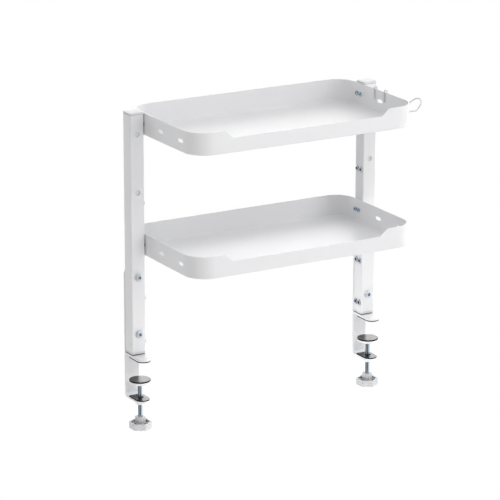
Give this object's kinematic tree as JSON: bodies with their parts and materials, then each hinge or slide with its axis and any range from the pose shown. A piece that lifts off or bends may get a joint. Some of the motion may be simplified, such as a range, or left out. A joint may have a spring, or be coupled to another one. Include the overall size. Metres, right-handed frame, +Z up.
{
  "type": "clamp-on desk shelf",
  "caption": "Desk-edge clamp shelf with stacked open trays between square posts, round-cornered low-fronted rims, screw clamps and a wire headphone hook.",
  "frame": {"origin": "on the desk's top surface at its rear edge, midway between the posts: X = 0 is the symmetry plane, Y = 0 the bracket straps' front faces, Z = 0 the undersides of the upper jaw pads", "axes": "+X to the right of someone facing the shelf, +Y away from them past the desk's rear edge, +Z up along the posts"},
  "size_m": [0.5188, 0.223, 0.5313],
  "materials": {
    "powder_coat": "satin white powder coat, very fine texture",
    "coated_wire": "satin white coated wire",
    "white_plastic": "fine matte moulded white",
    "knob_plastic": "matte moulded off-white",
    "zinc": "bluish bright zinc plating",
    "rubber": "smooth black rubber with a soft sheen"
  },
  "bodies": {
    "shelf": {"left_post": "powder_coat", "left_post_cap": "white_plastic", "left_post_foot": "white_plastic", "left_hole_plugs": "white_plastic", "left_rivet_nuts": "zinc", "left_bracket": "powder_coat", "left_upper_jaw": "powder_coat", "left_upper_jaw_pad": "rubber", "left_lower_jaw_pad": "rubber", "left_weld_nut": "powder_coat", "left_bracket_bolts": "zinc", "left_bracket_nuts": "zinc", "left_upper_tray_screws": "zinc", "left_lower_tray_screws": "zinc", "right_post": "powder_coat", "right_post_cap": "white_plastic", "right_post_foot": "white_plastic", "right_hole_plugs": "white_plastic", "right_rivet_nuts": "zinc", "right_bracket": "powder_coat", "right_upper_jaw": "powder_coat", "right_upper_jaw_pad": "rubber", "right_lower_jaw_pad": "rubber", "right_weld_nut": "powder_coat", "right_bracket_bolts": "zinc", "right_bracket_nuts": "zinc", "right_upper_tray_screws": "zinc", "right_lower_tray_screws": "zinc", "upper_tray": "powder_coat", "lower_tray": "powder_coat"},
    "left_disc": {"left_pressure_disc": "powder_coat", "left_disc_pad": "rubber"},
    "left_screw": {"left_clamp_screw": "zinc", "left_retaining_ring": "zinc", "left_knob": "knob_plastic", "left_knob_nut": "zinc"},
    "right_disc": {"right_pressure_disc": "powder_coat", "right_disc_pad": "rubber"},
    "right_screw": {"right_clamp_screw": "zinc", "right_retaining_ring": "zinc", "right_knob": "knob_plastic", "right_knob_nut": "zinc"},
    "hook": {"headphone_hook": "coated_wire"}
  },
  "joints": [
    {"name": "left_disc_travel", "type": "slide", "parent": "shelf", "child": "left_disc", "axis": [0, 0, 1], "range_m": [-0.0215, 0.0208]},
    {"name": "left_screw_turn", "type": "hinge", "parent": "left_disc", "child": "left_screw", "pos_m": [-0.219, -0.0265, -0.1], "axis": [0, 0, 1], "range_deg": [-6200, 6000]},
    {"name": "right_disc_travel", "type": "slide", "parent": "shelf", "child": "right_disc", "axis": [0, 0, 1], "range_m": [-0.0215, 0.0208]},
    {"name": "right_screw_turn", "type": "hinge", "parent": "right_disc", "child": "right_screw", "pos_m": [0.219, -0.0265, -0.1], "axis": [0, 0, 1], "range_deg": [-6200, 6000]},
    {"name": "hook_lift", "type": "slide", "parent": "shelf", "child": "hook", "axis": [0, 0, 1], "range_m": [0, 0.03]}
  ],
  "couplings": [
    {"joint": "left_screw_turn", "follows": "left_disc_travel", "rad_per_m": 5026.5},
    {"joint": "right_screw_turn", "follows": "right_disc_travel", "rad_per_m": 5026.5}
  ]
}
